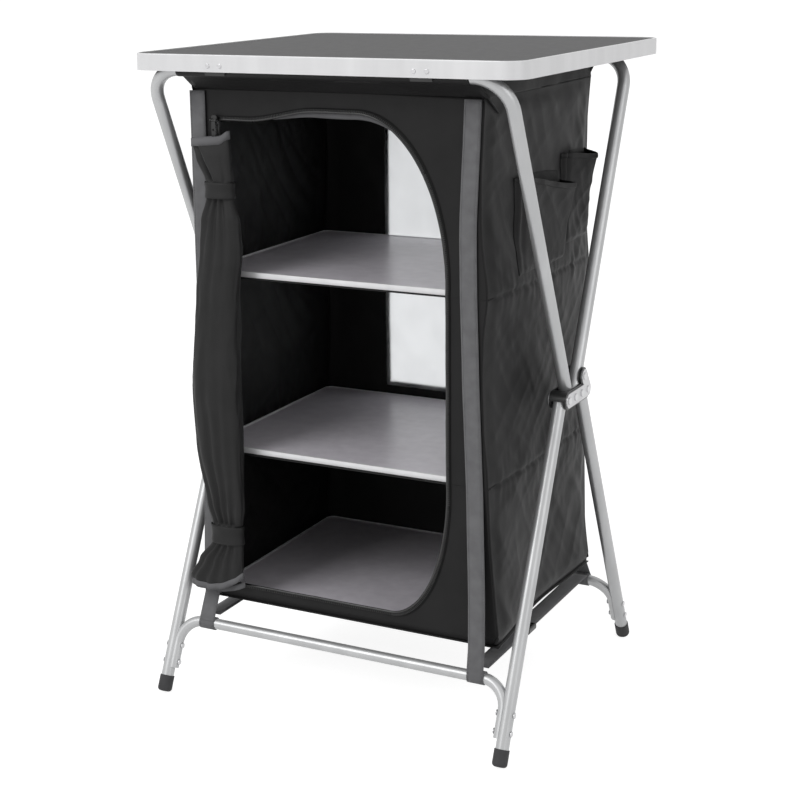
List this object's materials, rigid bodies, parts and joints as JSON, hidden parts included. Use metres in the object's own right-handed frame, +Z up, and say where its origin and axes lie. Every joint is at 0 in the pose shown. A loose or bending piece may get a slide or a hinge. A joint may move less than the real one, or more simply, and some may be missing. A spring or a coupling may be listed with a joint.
{
  "type": "folding camping cupboard",
  "caption": "Folding camp cupboard: a tube frame hinged at its sides holds a cloth cabinet with shelves, a rolled-up zip door and side pockets under a lift-off table top.",
  "frame": {"origin": "middle of the footprint of the whole cupboard, on the floor", "axes": "+Z up, -Y the side with the zip door, +X to the right seen from the door"},
  "size_m": [0.6, 0.5762, 0.96],
  "materials": {
    "frame_tube": "satin",
    "hinge_steel": "satin",
    "hinge_plastic": "matte",
    "rivet_steel": "satin",
    "foot_rubber": "matte",
    "table_laminate": "matte laminate",
    "table_edge": "satin",
    "clip_plastic": "matte",
    "cabinet_cloth": "plain weave",
    "webbing": "ribbed webbing",
    "buckle_plastic": "satin",
    "zip_tape": "satin",
    "zip_metal": "satin",
    "window_film": "frosted film",
    "shelf_board": "smooth laminate",
    "shelf_edge": "satin"
  },
  "bodies": {
    "main_frame": {"upper_rear_tube": "frame_tube", "hinge_plate_outer_left": "hinge_steel", "hinge_plate_inner_left": "hinge_steel", "hinge_plate_outer_right": "hinge_steel", "hinge_plate_inner_right": "hinge_steel", "hinge_saddle_left": "hinge_plastic", "hinge_saddle_right": "hinge_plastic", "hinge_fixed_rivets": "rivet_steel", "hinge_pivot_rivets": "rivet_steel", "front_leg_left": "frame_tube", "front_leg_right": "frame_tube", "front_bottom_rail": "frame_tube", "front_feet": "foot_rubber", "front_rail_rivets": "rivet_steel"},
    "front_top_frame": {"upper_front_tube": "frame_tube"},
    "rear_leg_frame": {"rear_leg_left": "frame_tube", "rear_leg_right": "frame_tube", "rear_bottom_rail": "frame_tube", "rear_feet": "foot_rubber", "rear_rail_rivets": "rivet_steel"},
    "cloth_sides": {"side_panel_left": "cabinet_cloth", "side_panel_right": "cabinet_cloth", "floor_cloth_upper": "cabinet_cloth", "floor_cloth_middle": "cabinet_cloth", "floor_cloth_lower": "cabinet_cloth", "top_gusset_left": "cabinet_cloth", "top_gusset_right": "cabinet_cloth", "pocket_front": "cabinet_cloth", "pocket_rear": "cabinet_cloth"},
    "cloth_front": {"front_panel": "cabinet_cloth", "door_zip": "zip_tape", "zip_slider": "zip_metal", "rolled_door": "cabinet_cloth", "door_ties": "webbing", "strap_front_left": "webbing", "strap_front_right": "webbing"},
    "cloth_back": {"back_panel": "cabinet_cloth", "back_window": "window_film", "strap_rear_left": "webbing", "strap_rear_right": "webbing"},
    "side_straps": {"side_strap_left": "webbing", "side_strap_right": "webbing", "strap_buckle_left": "buckle_plastic", "strap_buckle_right": "buckle_plastic"},
    "valance_front": {"valance_front": "cabinet_cloth"},
    "valance_back": {"valance_back": "cabinet_cloth"},
    "tabletop": {"tabletop_board": "table_laminate", "tabletop_rim": "table_edge", "tabletop_clips": "clip_plastic", "tabletop_clip_rivets": "rivet_steel"},
    "shelf_upper": {"shelf_board_upper": "shelf_board", "shelf_rim_upper": "shelf_edge"},
    "shelf_middle": {"shelf_board_middle": "shelf_board", "shelf_rim_middle": "shelf_edge"},
    "shelf_lower": {"shelf_board_lower": "shelf_board", "shelf_rim_lower": "shelf_edge"},
    "zip_pull": {"zip_pull": "zip_metal"}
  },
  "joints": [
    {"name": "frame_fold", "type": "hinge", "parent": "main_frame", "child": "front_top_frame", "pos_m": [0, -0.03805, 0.467], "axis": [-1, 0, 0], "range_deg": [0, 50]},
    {"name": "rear_leg_fold", "type": "hinge", "parent": "main_frame", "child": "rear_leg_frame", "pos_m": [0, 0.01195, 0.467], "axis": [-1, 0, 0], "range_deg": [0, 50]},
    {"name": "cloth_tilt", "type": "hinge", "parent": "main_frame", "child": "cloth_sides", "pos_m": [0, -0.11125, 0.486], "axis": [-1, 0, 0], "range_deg": [0, 25], "deforming": ["side_panel_left", "side_panel_right", "floor_cloth_upper", "floor_cloth_middle", "floor_cloth_lower", "top_gusset_left", "top_gusset_right", "pocket_front", "pocket_rear"]},
    {"name": "front_cloth_close", "type": "slide", "parent": "cloth_sides", "child": "cloth_front", "axis": [0, 1, 0], "range_m": [0, 0.1765], "deforming": ["front_panel", "door_zip", "rolled_door", "door_ties", "strap_front_left", "strap_front_right"]},
    {"name": "back_cloth_close", "type": "slide", "parent": "cloth_sides", "child": "cloth_back", "axis": [0, -1, 0], "range_m": [0, 0.1765], "deforming": ["back_panel", "back_window", "strap_rear_left", "strap_rear_right"]},
    {"name": "side_strap_slack", "type": "slide", "parent": "cloth_sides", "child": "side_straps", "axis": [0, 1, 0], "range_m": [0, 0.036], "deforming": ["side_strap_left", "side_strap_right"]},
    {"name": "front_sleeve_turn", "type": "hinge", "parent": "front_top_frame", "child": "valance_front", "pos_m": [0, -0.25768, 0.938], "axis": [-1, 0, 0], "range_deg": [0, 32]},
    {"name": "back_sleeve_turn", "type": "hinge", "parent": "main_frame", "child": "valance_back", "pos_m": [0, 0.20658, 0.938], "axis": [1, 0, 0], "range_deg": [0, 32]},
    {"name": "tabletop_lift", "type": "slide", "parent": "main_frame", "child": "tabletop", "axis": [0, 0, 1], "range_m": [0, 0.2182]},
    {"name": "upper_shelf_out", "type": "slide", "parent": "cloth_sides", "child": "shelf_upper", "axis": [0, -1, 0], "range_m": [0, 0.4014]},
    {"name": "middle_shelf_out", "type": "slide", "parent": "cloth_sides", "child": "shelf_middle", "axis": [0, -1, 0], "range_m": [0, 0.4014]},
    {"name": "lower_shelf_out", "type": "slide", "parent": "cloth_sides", "child": "shelf_lower", "axis": [0, -1, 0], "range_m": [0, 0.4014]},
    {"name": "zip_pull_swing", "type": "hinge", "parent": "cloth_front", "child": "zip_pull", "pos_m": [-0.192, -0.22335, 0.864], "axis": [-1, 0, 0], "range_deg": [0, 120]}
  ],
  "couplings": [
    {"joint": "rear_leg_fold", "follows": "frame_fold", "ratio": 1},
    {"joint": "cloth_tilt", "follows": "frame_fold", "ratio": 0.5},
    {"joint": "front_cloth_close", "follows": "frame_fold", "m_per_rad": 0.20225},
    {"joint": "back_cloth_close", "follows": "frame_fold", "m_per_rad": 0.20225},
    {"joint": "side_strap_slack", "follows": "frame_fold", "m_per_rad": 0.041253},
    {"joint": "front_sleeve_turn", "follows": "frame_fold", "ratio": 0.64},
    {"joint": "back_sleeve_turn", "follows": "frame_fold", "ratio": 0.64},
    {"joint": "tabletop_lift", "follows": "frame_fold", "m_per_rad": 0.25004},
    {"joint": "upper_shelf_out", "follows": "frame_fold", "m_per_rad": 0.45997},
    {"joint": "middle_shelf_out", "follows": "frame_fold", "m_per_rad": 0.45997},
    {"joint": "lower_shelf_out", "follows": "frame_fold", "m_per_rad": 0.45997}
  ]
}
